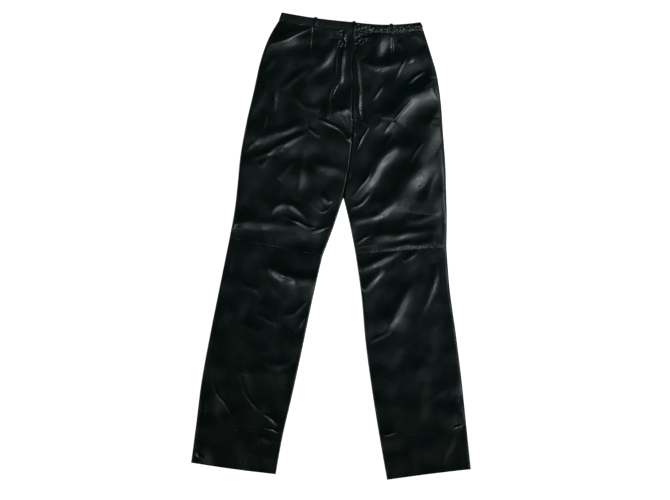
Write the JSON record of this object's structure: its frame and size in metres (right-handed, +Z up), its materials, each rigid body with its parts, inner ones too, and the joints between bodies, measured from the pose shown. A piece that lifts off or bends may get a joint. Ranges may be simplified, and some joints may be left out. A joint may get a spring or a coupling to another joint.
{
  "type": "leather trousers",
  "caption": "Women's straight leather trousers laid flat back side up, with a narrow waistband, belt loops, back darts and a seam above each knee.",
  "frame": {"origin": "middle of the garment's outline, on the surface it lies on", "axes": "+Z up from the surface, +Y towards the waist, +X towards the wearer's right, because the back is up"},
  "size_m": [0.6437, 1.0758, 0.0184],
  "materials": {
    "leather": "glossy black nappa",
    "zip": "matt black tape"
  },
  "bodies": {
    "root": {"back_upper_left": "leather", "back_upper_right": "leather", "back_lower_left": "leather", "back_lower_right": "leather", "front_upper_left": "leather", "front_upper_right": "leather", "front_lower_left": "leather", "front_lower_right": "leather", "waistband_left": "leather", "waistband_right": "leather", "belt_loop_left": "leather", "belt_loop_centre": "leather", "belt_loop_right": "leather", "fly_zip": "zip"}
  },
  "joints": []
}
